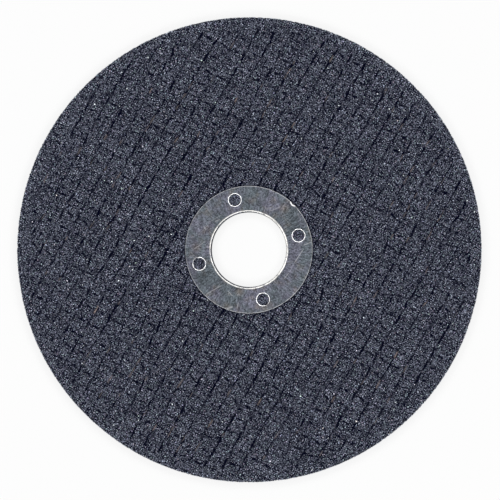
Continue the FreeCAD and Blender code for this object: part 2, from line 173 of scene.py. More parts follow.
class Cloth:
    """The imprint of one glass cloth. Warp yarns lie at whole u, weft yarns at whole v."""

    # Half widths of the marks: that of a faint dash or pit, and what a strong one has on top
    DASH_WIDTHS = (0.16, 0.1)
    PIT_WIDTHS = (0.14, 0.09)
    VALLEY_WIDTH = 0.5
    TROUGH_WIDTH = 0.36
    # How far the middles of the dashes and pits lie from the weft yarn
    DASH_SHIFT = -0.25
    PIT_SHIFT = 0.08
    # Depth and darkness of the warp's valley, the dash, the thin line, the weft's trough and the pit; the
    # darkness is painted shade in the furrows together with dark resin
    DEPTHS = (0.05, 0.15, 0.05, 0.03, 0.13)
    SHADES = (0.2, 1.0, 0.5, 0.12, 0.95)
    PLAIN_SHADE = 0.04
    UNEVEN_DEPTH = 0.012
    # The margin between cloth and plain rim: how ragged and how soft it is
    EDGE_WANDER = 0.3
    EDGE_SOFTNESS = 0.5

    def __init__(self, seed):
        rng = np.random.default_rng(seed)
        turns = [math.radians(turn + 90) for turn in (WARP_TURN, WEFT_TURN)]
        self.to_face = np.linalg.inv([[math.cos(turn), math.sin(turn)] for turn in turns])
        self.from_face = np.linalg.inv(self.to_face)
        self.warp_drift = Knots(rng, 6, 6)
        self.weft_drift = Knots(rng, 6, 6)
        self.warp_jitter = Knots(rng, 1, 2.3)
        self.weft_jitter = Knots(rng, 2.3, 1)
        self.warp_strength = Knots(rng, 1, 3)
        self.weft_strength = Knots(rng, 1.7, 1)
        self.unevenness = Knots(rng, 0.8, 0.8)
        self.edge = Knots(rng, 1.3, 1.3)
        side = Knots.SIDE
        self.warp_gaps = 0.2 + 0.95 * rng.random((side, side)) ** 1.2
        self.gap_lengths = rng.uniform(0.9, 1.6, (side, side))
        self.gap_shifts = rng.normal(0, 0.35, (side, side))
        self.slants = rng.normal(0.04, 0.09, (side, side))
        self.pits = np.clip(rng.normal(0.98, 0.34, (side, side)), 0.15, 1.5)
        self.pit_lengths = rng.uniform(0.42, 0.8, (side, side))
        self.tilts = rng.normal(0, 0.25, (side, side))
        self.wave = Knots(rng, 0.16, 0.16)
        self.rags = Knots(rng, 0.09, 0.13)

    def place(self, u, v):
        """The place on the face, x and y, of a point of the cloth."""
        across = WARP_OFFSET + u * WARP_PITCH
        across = across + YARN_WANDER * self.warp_drift.at(u, v) + YARN_JITTER * self.warp_jitter.at(u, v)
        along = WEFT_OFFSET + v * WEFT_PITCH
        along = along + YARN_WANDER * self.weft_drift.at(u, v) + YARN_JITTER * self.weft_jitter.at(u, v)
        return (
            self.to_face[0, 0] * across + self.to_face[0, 1] * along,
            self.to_face[1, 0] * across + self.to_face[1, 1] * along,
        )

    def find(self, x, y):
        """The point of the cloth at a place on the face, leaving out the yarns' wander."""
        across, along = self.from_face @ (x, y)
        return (across - WARP_OFFSET) / WARP_PITCH, (along - WEFT_OFFSET) / WEFT_PITCH

    def inside(self, u, v):
        """One over the cloth, nothing over the plain margin at the rim."""
        x, y = self.place(u, v)
        radius = np.hypot(x, y) + self.EDGE_WANDER * self.edge.at(u, v)
        return np.clip((CLOTH_RADIUS - radius) / self.EDGE_SOFTNESS + 0.5, 0, 1)

    def marks(self, u, v):
        """How far a point lies beside the middle of its warp dash, and how strong that dash is there.

        The same two values follow for the pit that its weft yarn leaves halfway between two dashes."""
        yarn = np.round(u).astype(int)
        weft = np.round(v).astype(int)
        span = np.floor(u).astype(int)
        beside_yarn = (u - yarn) * WARP_PITCH
        beside_weft = (v - weft) * WEFT_PITCH
        from_middle = (u - span - 0.5) * WARP_PITCH
        crossing = (yarn % Knots.SIDE, weft % Knots.SIDE)
        float_over = (span % Knots.SIDE, weft % Knots.SIDE)

        from_dash = beside_weft - self.DASH_SHIFT
        leaning = beside_yarn - self.slants[crossing] * from_dash - 0.1 * self.wave.at(u, v)
        dash = hump(from_dash - self.gap_shifts[crossing], self.gap_lengths[crossing], 6)
        dash = dash * self.warp_gaps[crossing] * (0.9 + 0.2 * self.rags.at(u, v))
        from_pit = beside_weft - self.PIT_SHIFT
        tilted = from_pit - self.tilts[float_over] * from_middle - 0.12 * self.wave.at(v + 7, u)
        pit = self.pits[float_over] * hump(from_middle, self.pit_lengths[float_over], 4)
        return leaning, dash, tilted, pit

    def relief(self, u, v):
        """How far the face dips below its level, how much it darkens there, and how open the gaps are."""
        leaning, dash, tilted, pit = self.marks(u, v)
        faint, added = self.DASH_WIDTHS
        profile = hump(leaning, faint + added * np.clip(dash, 0, 1), 4)
        strength = np.clip(0.22 + 0.3 * self.warp_strength.at(u, v), 0, 1)
        line = profile * strength * (0.75 + 0.5 * self.rags.at(u, v))
        gap = np.clip(dash * profile, 0, 1.3)
        faint, added = self.PIT_WIDTHS
        pit = pit * hump(tilted, faint + added * np.clip(pit, 0, 1), 4)
        valley = hump((u - np.round(u)) * WARP_PITCH, self.VALLEY_WIDTH)
        valley = valley * (1 + 0.5 * self.warp_strength.at(u, v))
        trough = hump((v - np.round(v)) * WEFT_PITCH, self.TROUGH_WIDTH)
        trough = trough * (1 + 0.7 * self.weft_strength.at(u, v))

        cloth = self.inside(u, v)
        marks = (valley, gap, line, trough, pit)
        dip = sum(depth * mark for depth, mark in zip(self.DEPTHS, marks)) * cloth
        shade = sum((dark * mark for dark, mark in zip(self.SHADES, marks)), self.PLAIN_SHADE) * cloth
        open_gap = np.clip(gap + 0.3 * line + pit, 0, 1.4) * cloth
        return dip + self.UNEVEN_DEPTH * self.unevenness.at(u, v), np.clip(shade, 0, 1), open_gap

    def push_aside(self, u, v):
        """Moves points of the cloth out of the dashes and pits, to their sides."""
        leaning, dash, tilted, pit = self.marks(u, v)
        cloth = self.inside(u, v) > 0.5
        moves = []
        for aside, strength in ((leaning, dash), (tilted, pit)):
            ragged = 1 + 0.35 * self.rags.at(v, u)
            clearance = np.where((strength > 0.25) & cloth, (0.19 + 0.15 * strength) * ragged, 0)
            moves.append(np.clip(clearance - np.abs(aside), 0, None) * np.sign(aside))
        across, along = moves
        return u + across / WARP_PITCH, v + along / WEFT_PITCH


class Face:
    """One face of the disc: where its bed lies, and which way is out of the grain."""

    def __init__(self, cloth, height, outward):
        self.cloth = cloth
        self.height = height
        self.outward = outward

    def lift(self, depth):
        """The height of a point that lies so far below the face."""
        return self.height - self.outward * depth


class MeshParts:
    """Points, triangles and tones, gathered piece by piece into one mesh."""

    def __init__(self):
        self.points = []
        self.triangles = []
        self.tones = []
        self.count = 0

    def add_points(self, points, tones):
        first = self.count
        self.points.append(points)
        self.tones.append(tones)
        self.count += len(points)
        return first + np.arange(len(points))

    def add_quads(self, a, b, c, d):
        self.triangles.append(np.stack([a, b, c], axis=-1).reshape(-1, 3))
        self.triangles.append(np.stack([a, c, d], axis=-1).reshape(-1, 3))

    def make(self, name, material, smooth):
        """The finished object, in metres."""
        points = np.concatenate(self.points) * MM
        triangles = np.concatenate(self.triangles)
        flat = (triangles[:, 0] == triangles[:, 1]) | (triangles[:, 1] == triangles[:, 2])
        triangles = triangles[~flat]
        mesh = bpy.data.meshes.new(name)
        mesh.vertices.add(len(points))
        mesh.vertices.foreach_set("co", points.astype(np.float32).ravel())
        mesh.loops.add(triangles.size)
        mesh.loops.foreach_set("vertex_index", triangles.astype(np.int32).ravel())
        mesh.polygons.add(len(triangles))
        mesh.polygons.foreach_set("loop_start", np.arange(0, triangles.size, 3, dtype=np.int32))
        mesh.polygons.foreach_set("use_smooth", np.full(len(triangles), smooth))
        mesh.update(calc_edges=True)
        tone = mesh.attributes.new("tone", "FLOAT_COLOR", "POINT")
        tones = np.concatenate(self.tones)
        colours = np.column_stack([tones, np.ones(len(tones))])
        tone.data.foreach_set("color", colours.astype(np.float32).ravel())
        mesh.materials.append(material)
        thing = bpy.data.objects.new(name, mesh)
        bpy.context.scene.collection.objects.link(thing)
        return thing


def rows_over(pitch, rows, offset, reach):
    """The rows of every pitch that the reach takes in, in whole pitches from the first furrow."""
    first = math.floor((-reach - offset) / pitch) - 1
    last = math.ceil((reach - offset) / pitch) + 1
    return np.concatenate([k + np.array(rows) / pitch for k in range(first, last + 1)])


def groove_by_ring(face, x, y):
    """One in the groove round the ring, which only the front face has, and nothing away from it."""
    if face.outward < 0:
        return 0
    return hump(np.hypot(x, y) - GROOVE_RADIUS, GROOVE_WIDTH)


def lay_bed(parts, face, warp_rows, weft_rows, inner_radius, outer_radius):
    """Lays the bed of one face between two circles, and returns its inner and outer loops of points."""
    u, v = np.meshgrid(
        rows_over(WARP_PITCH, warp_rows, WARP_OFFSET, WHEEL_RADIUS),
        rows_over(WEFT_PITCH, weft_rows, WEFT_OFFSET, WHEEL_RADIUS),
        indexing="ij",
    )
    x, y = face.cloth.place(u, v)
    radius = np.hypot(x, y)
    within = (radius > inner_radius) & (radius < outer_radius)
    cells = within[:-1, :-1] | within[1:, :-1] | within[1:, 1:] | within[:-1, 1:]
    used = np.zeros_like(within)
    shifts = (slice(None, -1), slice(1, None))
    for shift_u in shifts:
        for shift_v in shifts:
            used[shift_u, shift_v] |= cells
    held = np.clip(radius, inner_radius, outer_radius) / np.maximum(radius, 1e-6)
    x, y = x * held, y * held

    dip, shade, _ = face.cloth.relief(u, v)
    groove = groove_by_ring(face, x, y)
    height = face.lift(BED_DEPTH + dip + GROOVE_DEPTH * groove)
    shade = np.maximum(shade, 0.8 * groove)
    points = np.column_stack([x[used], y[used], height[used]])
    numbers = np.zeros(used.shape, int)
    numbers[used] = parts.add_points(points, bed_tones(shade[used]))
    a, b = numbers[:-1, :-1][cells], numbers[1:, :-1][cells]
    c, d = numbers[1:, 1:][cells], numbers[:-1, 1:][cells]
    if face.outward > 0:
        parts.add_quads(a, b, c, d)
    else:
        parts.add_quads(d, c, b, a)
    inner = loop_round(numbers, x, y, used & (radius <= inner_radius))
    outer = loop_round(numbers, x, y, used & (radius >= outer_radius))
    return inner, outer


def loop_round(numbers, x, y, chosen):
    """The chosen points in order of their angle, with the angles."""
    angles = np.arctan2(y[chosen], x[chosen])
    order = np.argsort(angles)
    return numbers[chosen][order], angles[order]


def bed_tones(shade):
    """Dark resin, which also stands for painted shade between the grains, darker in the furrows by painted
    shade and darker resin.
    """
    return np.outer(1 - SHADE_DEPTH * shade, BED_TONE)


def turn_strip(parts, loop, profile, facing, rough=0.0, rng=None):
    """Carries a loop on along a profile of radii and heights, and closes the strip round the wheel."""
    numbers, angles = loop
    for radius, height in profile:
        radii = np.full(len(angles), radius)
        if rng is not None:
            radii = radii - rough * rng.random(len(angles))
        x = radii * np.cos(angles)
        y = radii * np.sin(angles)
        points = np.column_stack([x, y, np.full(len(angles), height)])
        below = parts.add_points(points, bed_tones(np.zeros(len(points))))
        if facing > 0:
            parts.add_quads(numbers, below, np.roll(below, -1), np.roll(numbers, -1))
        else:
            parts.add_quads(numbers, np.roll(numbers, -1), np.roll(below, -1), below)
        numbers = below


def make_front_bed(cloth, material):
    """The bed of the front face, with the upper rim, the ring's seat and the wall of the bore."""
    parts = MeshParts()
    face = Face(cloth, FACE_HEIGHT, 1)
    rng = np.random.default_rng(21)
    rim = WHEEL_RADIUS - RIM_DEPTH
    inner, outer = lay_bed(parts, face, WARP_ROWS, WEFT_ROWS, SEAT_WALL, rim - RIM_BEVEL)
    middle = FACE_HEIGHT / 2
    heights = np.linspace(face.lift(BED_DEPTH + RIM_BEVEL), middle, RIM_ROWS)
    turn_strip(parts, outer, [(rim, height) for height in heights], 1, RIM_ROUGHNESS, rng)
    floor = SEAT_HEIGHT - 0.01
    radii = np.linspace(SEAT_WALL, BORE_WALL, 10)
    seat_and_bore = [(radius, floor) for radius in radii]
    seat_and_bore += [(radii[-1], height) for height in (1.0, 0.6, BED_DEPTH)]
    turn_strip(parts, inner, seat_and_bore, -1)
    return parts.make("abrasive_front", material, smooth=True)


def make_back_bed(cloth, material):
    """The bed of the back face, with the lower rim."""
    parts = MeshParts()
    face = Face(cloth, DISC_LOW.z, -1)
    rng = np.random.default_rng(22)
    rim = WHEEL_RADIUS - RIM_DEPTH
    _, outer = lay_bed(parts, face, BACK_WARP_ROWS, BACK_WEFT_ROWS, BORE_WALL, rim - RIM_BEVEL)
    just_past_middle = FACE_HEIGHT / 2 + 0.02
    heights = np.linspace(face.lift(BED_DEPTH + RIM_BEVEL), just_past_middle, RIM_ROWS)
    turn_strip(parts, outer, [(rim, height) for height in heights], -1, RIM_ROUGHNESS, rng)
    return parts.make("abrasive_back", material, smooth=True)


CORNERS = np.array([(1, 0, 0), (-1, 0, 0), (0, 1, 0), (0, -1, 0), (0, 0, 1), (0, 0, -1)], float)
FACETS = np.array([(0, 2, 4), (2, 1, 4), (1, 3, 4), (3, 0, 4), (2, 0, 5), (1, 2, 5), (3, 1, 5), (0, 3, 5)])


def random_turns(rng, count):
    """Rotation matrices spread evenly over all directions."""
    q = rng.normal(size=(count, 4))
    w, x, y, z = (q / np.linalg.norm(q, axis=1, keepdims=True)).T
    rows = [
        (1 - 2 * (y * y + z * z), 2 * (x * y - z * w), 2 * (x * z + y * w)),
        (2 * (x * y + z * w), 1 - 2 * (x * x + z * z), 2 * (y * z - x * w)),
        (2 * (x * z - y * w), 2 * (y * z + x * w), 1 - 2 * (x * x + y * y)),
    ]
    return np.stack([np.stack(row, axis=-1) for row in rows], axis=1)


def crush(rng, centres, sizes):
    """The corners of one crushed grain at each centre: an eight-sided splinter, no two alike."""
    count = len(centres)
    stretch = rng.uniform(0.75, 1.25, (count, 1, 3))
    corners = CORNERS * stretch * (sizes[:, None, None] / 2)
    corners = corners + rng.normal(0, 0.12, (count, 6, 3)) * sizes[:, None, None]
    turned = np.einsum("nij,nkj->nki", random_turns(rng, count), corners)
    return turned + centres[:, None, :]


# Shares of the grain that are brownish, bluish, greenish and purplish
GRAIN_TINTS = (
    (0.06, (1.12, 0.98, 0.93)),
    (0.12, (0.95, 0.99, 1.06)),
    (0.2, (0.94, 1.08, 0.97)),
    (0.16, (1.05, 0.93, 1.03)),
)

# The share of pale grains, painted bright also to stand for the grain's glints, and how much lighter than
# the others they are
PALE_GRAIN_AND_GLINT_SHARE = 0.008
PALE_GRAIN_AND_GLINT_LIGHT = (1.5, 5.0)


def grain_tones(rng, count, shade):
    """The grain's colours: slate of uneven lightness, darker in the shade, with a few pale grains painted
    bright also as glints.

    The lighter a grain is, the less blue it is. Some shares of the grain have a tint of their own."""
    light = (1.3 + 1.2 * rng.random(count) ** 1.1) * (1 - SHADE_DEPTH * shade)
    pale = rng.random(count) < PALE_GRAIN_AND_GLINT_SHARE
    light = np.where(pale, light + rng.uniform(*PALE_GRAIN_AND_GLINT_LIGHT, count), light)
    blue = 1.13 - 0.075 * np.minimum(light, 4)
    tones = np.column_stack([light, light, light * blue])
    for share, tint_of in GRAIN_TINTS:
        tinted = rng.random(count) < share
        tones = np.where(tinted[:, None], tones * tint_of, tones)
    return tones


def scatter_over_cloth(rng, cloth, spacing, inner_radius, outer_radius):
    """Points of the cloth, about evenly spaced, whose places lie between two circles."""
    reach = WHEEL_RADIUS + WARP_PITCH
    across = np.arange(-reach, reach, spacing)
    u, v = np.meshgrid(across / WARP_PITCH, across / WEFT_PITCH, indexing="ij")
    u = u.ravel() + rng.uniform(-GRAIN_JITTER, GRAIN_JITTER, u.size) * spacing / WARP_PITCH
    v = v.ravel() + rng.uniform(-GRAIN_JITTER, GRAIN_JITTER, v.size) * spacing / WEFT_PITCH
    x, y = cloth.place(u, v)
    radius = np.hypot(x, y)
    kept = (radius > inner_radius) & (radius < outer_radius)
    return u[kept], v[kept]


def grain_on_face(rng, face, spacing, inner_radius, sizes):
    """Centres, sizes and tones of the grain bedded in one face."""
    u, v = scatter_over_cloth(rng, face.cloth, spacing, inner_radius, WHEEL_RADIUS - 0.2)
    u, v = face.cloth.push_aside(u, v)
    x, y = face.cloth.place(u, v)
    dip, shade, gap = face.cloth.relief(u, v)
    stays = rng.random(len(u)) > GAP_CLEARING * gap
    u, v, x, y, dip, shade = (values[stays] for values in (u, v, x, y, dip, shade))
    size = rng.uniform(*sizes, len(u))
    depth = BED_DEPTH + dip + rng.uniform(*GRAIN_SINK, len(u))
    groove = groove_by_ring(face, x, y)
    centres = np.column_stack([x, y, face.lift(depth + GROOVE_DEPTH * groove)])
    return centres, size, grain_tones(rng, len(u), np.maximum(shade, 0.4 * groove))


def grain_on_rim(rng, count, sizes):
    """Centres, sizes and tones of the grain bedded in the rim."""
    angle = rng.uniform(0, 2 * math.pi, count)
    height = rng.uniform(0.12, FACE_HEIGHT - 0.12, count)
    radius = WHEEL_RADIUS - RIM_DEPTH - rng.uniform(0, 0.06, count)
    centres = np.column_stack([radius * np.cos(angle), radius * np.sin(angle), height])
    return centres, rng.uniform(*sizes, count), grain_tones(rng, count, np.zeros(count))


def grain_in_holes(rng, hole_centres, hole_radius, sizes):
    """Centres, sizes and tones of the grain that shows through the ring's pierced holes."""
    centres = []
    for x, y in hole_centres:
        steps = np.arange(-hole_radius, hole_radius, HOLE_GRAIN_SPACING)
        gx, gy = (grid.ravel() for grid in np.meshgrid(steps, steps))
        gx = gx + rng.uniform(-HOLE_GRAIN_JITTER, HOLE_GRAIN_JITTER, len(gx))
        gy = gy + rng.uniform(-HOLE_GRAIN_JITTER, HOLE_GRAIN_JITTER, len(gy))
        kept = np.hypot(gx, gy) < hole_radius - HOLE_GRAIN_JITTER
        level = np.full(kept.sum(), SEAT_HEIGHT + 0.02) + rng.uniform(-0.03, 0.05, kept.sum())
        centres.append(np.column_stack([x + gx[kept], y + gy[kept], level]))
    centres = np.concatenate(centres)
    tones = grain_tones(rng, len(centres), np.full(len(centres), HOLE_SHADE))
    return centres, rng.uniform(*sizes, len(centres)), tones


def bed_grain(name, rng, grains, material):
    """One piece of crushed grain, held inside the wheel's outline."""
    centres, sizes, tones = (np.concatenate(values) for values in zip(*grains))
    corners = crush(rng, centres, sizes)
    low, high = DISC_LOW.z + 0.005, FACE_HEIGHT + 0.025
    corners[..., 2] = np.clip(corners[..., 2], low, high)
    radius = np.hypot(corners[..., 0], corners[..., 1])
    held = np.minimum(1, (WHEEL_RADIUS - 0.01) / radius)
    corners[..., 0] *= held
    corners[..., 1] *= held
    parts = MeshParts()
    numbers = parts.add_points(corners.reshape(-1, 3), np.repeat(tones, 6, axis=0))
    parts.triangles.append(numbers.reshape(-1, 6)[:, FACETS].reshape(-1, 3))
    return parts.make(name, material, smooth=False)


def pixel_to_face(column, row):
    """The place on the face, x and y, of a pixel of the photograph."""
    return (column - PHOTO_CENTRE[0]) / PIXELS_PER_MM, (PHOTO_CENTRE[1] - row) / PIXELS_PER_MM


# Strands that only just show as a brown hue, besides the bare ones below
DULL_STRANDS = 120
DULL_RESIN = np.array([0.075, 0.061, 0.067])
BARE_RESIN = np.array([0.115, 0.088, 0.084])
STRAND_LENGTH = (1.0, 2.2)
STRAND_THICKNESS = (0.08, 0.13)
STRAND_PLACES = (-0.12, 0.0, 0.11)

# Where glass strands lie bare in a furrow, in pixels of the photograph: the first eight are seen there,
# and the others are guessed
BARE_STRANDS = [
    (334, 59), (290, 71), (294, 124), (287, 139), (431, 142), (387, 91), (333, 178), (442, 219),
    (395, 206), (409, 240), (150, 90), (104, 168), (70, 240), (96, 310), (140, 372), (205, 420),
    (262, 402), (330, 396), (392, 352), (420, 300), (180, 140), (230, 96), (356, 300), (128, 250),
]


def lay_strand(parts, face, yarn, start, length, aside, thickness, tone):
    """One glass strand that lies along a warp furrow, as a thin six-sided rod."""
    steps = 9
    sides = 6
    up = np.array([0, 0, 1])
    along = start + np.linspace(0, length, steps) / WEFT_PITCH
    across = np.full(steps, yarn + aside / WARP_PITCH)
    x, y = face.cloth.place(across, along)
    dip, _, _ = face.cloth.relief(across, along)
    rise = hump(np.linspace(-1, 1, steps), 0.8, 4)
    height = face.lift(BED_DEPTH + dip - 0.06 * rise + 0.05)
    heading = math.radians(WARP_TURN)
    side = np.array([-math.sin(heading), math.cos(heading), 0])
    centres = np.column_stack([x, y, height])
    ring = []
    for k in range(sides):
        turn = 2 * math.pi * k / sides
        ring.append(centres + thickness / 2 * (math.cos(turn) * side + math.sin(turn) * up))
    points = np.stack(ring, axis=1).reshape(-1, 3)
    numbers = parts.add_points(points, np.tile(tone, (len(points), 1))).reshape(steps, sides)
    parts.add_quads(
        numbers[:-1], np.roll(numbers[:-1], -1, axis=1), np.roll(numbers[1:], -1, axis=1), numbers[1:]
    )
    for end, order in ((0, 1), (-1, -1)):
        cap = numbers[end][::order]
        fan = [(cap[0], cap[k + 1], cap[k]) for k in range(1, sides - 1)]
        parts.triangles.append(np.array(fan))


def make_strands(cloth, material):
    """The bare glass strands: pairs and threes of thin resin-brown rods in some of the furrows."""
    rng = np.random.default_rng(31)
    face = Face(cloth, FACE_HEIGHT, 1)
    parts = MeshParts()
    turns = rng.uniform(0, 2 * math.pi, DULL_STRANDS)
    reaches = np.sqrt(rng.uniform(16 ** 2, (CLOTH_RADIUS - 2) ** 2, DULL_STRANDS))
    dull = [(reach * math.cos(turn), reach * math.sin(turn)) for reach, turn in zip(reaches, turns)]
    bare = [pixel_to_face(column, row) for column, row in BARE_STRANDS]
    for number, (x, y) in enumerate(bare + dull):
        u, v = cloth.find(x, y)
        length = rng.uniform(*STRAND_LENGTH)
        resin = BARE_RESIN if number < len(bare) else DULL_RESIN
        tone = resin * rng.uniform(0.6, 1.5)
        for place in STRAND_PLACES[: rng.integers(2, 4)]:
            start = v - length / 2 / WEFT_PITCH + rng.uniform(-0.1, 0.1)
            reach = length * rng.uniform(0.7, 1)
            aside = place + rng.uniform(-0.03, 0.03)
            thickness = rng.uniform(*STRAND_THICKNESS)
            lay_strand(parts, face, round(u), start, reach, aside, thickness, tone * rng.uniform(0.6, 1.3))
    return parts.make("glass_strands", material, smooth=True)


def new_material(name):
    """An empty material, its node tree and its principled shader, with the output already joined."""
    material = bpy.data.materials.new(name)
    material.use_nodes = True
    tree = material.node_tree
    return material, tree, tree.nodes["Principled BSDF"]


def new_group(name, inputs, outputs):
    """A shader node group with number inputs and outputs, given as name to value."""
    group = bpy.data.node_groups.new(name, "ShaderNodeTree")
    for title, value in inputs.items():
        socket = group.interface.new_socket(title, in_out="INPUT", socket_type="NodeSocketFloat")
        socket.default_value = value
    for title in outputs:
        group.interface.new_socket(title, in_out="OUTPUT", socket_type="NodeSocketFloat")
    entrance = group.nodes.new("NodeGroupInput")
    leaving = group.nodes.new("NodeGroupOutput")
    return group, entrance, leaving


def feed(tree, entrance, value):
    """Gives an input its value, which is another node's socket or a plain value."""
    if isinstance(value, bpy.types.NodeSocket):
        tree.links.new(value, entrance)
    else:
        entrance.default_value = value


def set_inputs(node, values):
    """Sets inputs of a node to plain values, given as name to value."""
    for name, value in values.items():
        node.inputs[name].default_value = value


def add_math(tree, operation, first, second, clamp=False):
    """A maths node, whose two values are sockets or numbers."""
    node = tree.nodes.new("ShaderNodeMath")
    node.operation = operation
    node.use_clamp = clamp
    feed(tree, node.inputs[0], first)
    feed(tree, node.inputs[1], second)
    return node.outputs[0]


def product(tree, first, second, clamp=False):
    """Two values multiplied."""
    return add_math(tree, "MULTIPLY", first, second, clamp)


def difference(tree, first, second, clamp=False):
    """The first value less the second."""
    return add_math(tree, "SUBTRACT", first, second, clamp)


def about_one(tree, noise, strength):
    """A noise between nothing and one made into a factor about one, with a socket for its strength."""
    spread = product(tree, difference(tree, noise, 0.5), strength)
    return add_math(tree, "ADD", product(tree, spread, 4.0), 1.0)


def object_place(tree):
    """The place on the object, in metres."""
    return tree.nodes.new("ShaderNodeTexCoord").outputs["Object"]


def make_mottle_group():
    """Cloudy unevenness: a factor about one. Size is the width of a cloud in metres."""
    group, entrance, leaving = new_group("mottle", {"Size": 0.004, "Strength": 0.3}, ["Factor"])
    noise = group.nodes.new("ShaderNodeTexNoise")
    noise.inputs["Detail"].default_value = 3
    group.links.new(object_place(group), noise.inputs["Vector"])
    scale = add_math(group, "DIVIDE", 1.0, entrance.outputs["Size"])
    group.links.new(scale, noise.inputs["Scale"])
    factor = about_one(group, noise.outputs["Fac"], entrance.outputs["Strength"])
    group.links.new(factor, leaving.inputs["Factor"])
    return group


def make_speck_group():
    """Fine specks: a factor about one that changes from speck to speck, and their height.

    Power makes more of them dark and a few of them bright."""
    inputs = {"Size": 0.0003, "Strength": 0.5, "Power": 1.0}
    group, entrance, leaving = new_group("specks", inputs, ["Factor", "Height"])
    cells = group.nodes.new("ShaderNodeTexVoronoi")
    group.links.new(object_place(group), cells.inputs["Vector"])
    scale = add_math(group, "DIVIDE", 1.0, entrance.outputs["Size"])
    group.links.new(scale, cells.inputs["Scale"])
    split = group.nodes.new("ShaderNodeSeparateColor")
    group.links.new(cells.outputs["Color"], split.inputs["Color"])
    power = entrance.outputs["Power"]
    raised = add_math(group, "POWER", split.outputs["Red"], power)
    evened = product(group, raised, add_math(group, "ADD", power, 1.0))
    spread = product(group, difference(group, evened, 1.0), entrance.outputs["Strength"])
    group.links.new(add_math(group, "ADD", spread, 1.0), leaving.inputs["Factor"])
    group.links.new(cells.outputs["Distance"], leaving.inputs["Height"])
    return group


def add_group(tree, group, **values):
    """Places a node group in a material with its own values."""
    node = tree.nodes.new("ShaderNodeGroup")
    node.node_tree = group
    set_inputs(node, values)
    return node


def tint(tree, colour, factor):
    """A colour socket or colour times a factor."""
    node = tree.nodes.new("ShaderNodeVectorMath")
    node.operation = "SCALE"
    feed(tree, node.inputs[0], colour)
    feed(tree, node.inputs["Scale"], factor)
    return node.outputs[0]


def times(tree, first, second):
    """Two colours multiplied."""
    node = tree.nodes.new("ShaderNodeVectorMath")
    node.operation = "MULTIPLY"
    feed(tree, node.inputs[0], first)
    feed(tree, node.inputs[1], second)
    return node.outputs[0]


def add_bump(tree, height, strength, distance):
    """A bump from a height socket. Distance is in metres."""
    bump = tree.nodes.new("ShaderNodeBump")
    set_inputs(bump, {"Strength": strength, "Distance": distance})
    tree.links.new(height, bump.inputs["Height"])
    return bump.outputs["Normal"]


def add_tone(tree):
    """The tone painted on the mesh."""
    node = tree.nodes.new("ShaderNodeAttribute")
    node.attribute_name = "tone"
    return node.outputs["Color"]


# The colour of the resin and grain, and the bluish sheen on them
SLATE = (0.118, 0.1275, 0.157)
SHEEN = (0.06, 0.11, 1.0, 1)
SHEEN_LEVEL = 0.105

# Specks of the grain and of the bed: their values, and the strength and depth in metres of their bump
GRAIN_CHIPS = {"Size": 0.00018, "Strength": 0.88, "Power": 1.8}
GRAIN_BUMP = (0.4, 0.00003)
BED_GRIT = {"Size": 0.00021, "Strength": 0.98, "Power": 3.6}
BED_BUMP = (1.0, 0.00012)


def make_slate_material(name, mottle, specks, grit, bump, roughness):
    """Blue-grey resin or grain: the tones painted on the mesh, with faint clouds and fine specks."""
    material, tree, shader = new_material(name)
    clouds = add_group(tree, mottle, Size=0.006, Strength=0.13)
    specks_on_it = add_group(tree, specks, **grit)
    colour = times(tree, add_tone(tree), SLATE)
    colour = tint(tree, colour, clouds.outputs["Factor"])
    colour = tint(tree, colour, specks_on_it.outputs["Factor"])
    tree.links.new(colour, shader.inputs["Base Color"])
    tree.links.new(add_bump(tree, specks_on_it.outputs["Height"], *bump), shader.inputs["Normal"])
    sheen = {"Specular IOR Level": SHEEN_LEVEL, "Specular Tint": SHEEN}
    set_inputs(shader, {"Roughness": roughness, **sheen})
    return material


def make_strand_material(mottle):
    """Glass strands soaked in brown resin."""
    material, tree, shader = new_material("resin_glass")
    clouds = add_group(tree, mottle, Size=0.0006, Strength=0.6)
    colour = tint(tree, add_tone(tree), clouds.outputs["Factor"])
    tree.links.new(colour, shader.inputs["Base Color"])
    shader.inputs["Roughness"].default_value = 0.35
    return material


def face_axes(tree):
    """The two coordinates over the face, x and y, in metres."""
    split = tree.nodes.new("ShaderNodeSeparateXYZ")
    tree.links.new(object_place(tree), split.inputs[0])
    return split.outputs["X"], split.outputs["Y"]


def length_of(tree, x, y):
    """The length of a step of x and y."""
    total = add_math(tree, "ADD", product(tree, x, x), product(tree, y, y))
    return add_math(tree, "SQRT", total, 0.0)


def band(tree, value, low, high, soft):
    """One between two values, nothing outside them, with soft edges."""
    above = add_math(tree, "DIVIDE", difference(tree, value, low), soft, clamp=True)
    below = add_math(tree, "DIVIDE", difference(tree, high, value), soft, clamp=True)
    return product(tree, above, below)


# Bands of the ring where highlights and shade are painted, from and to in mm: from a hole's centre, from the
# nick's, and the rest from the axis
LIP_BAND = (1.15, 1.45)
NICK_BAND = (0, 0.98)
BEND_BAND = (8.24, 8.52)
LIT_BEND_BAND = (7.9, 8.4)
EDGE_BAND = (13.56, 14)
WALL_BAND = (7.5, 8.17)


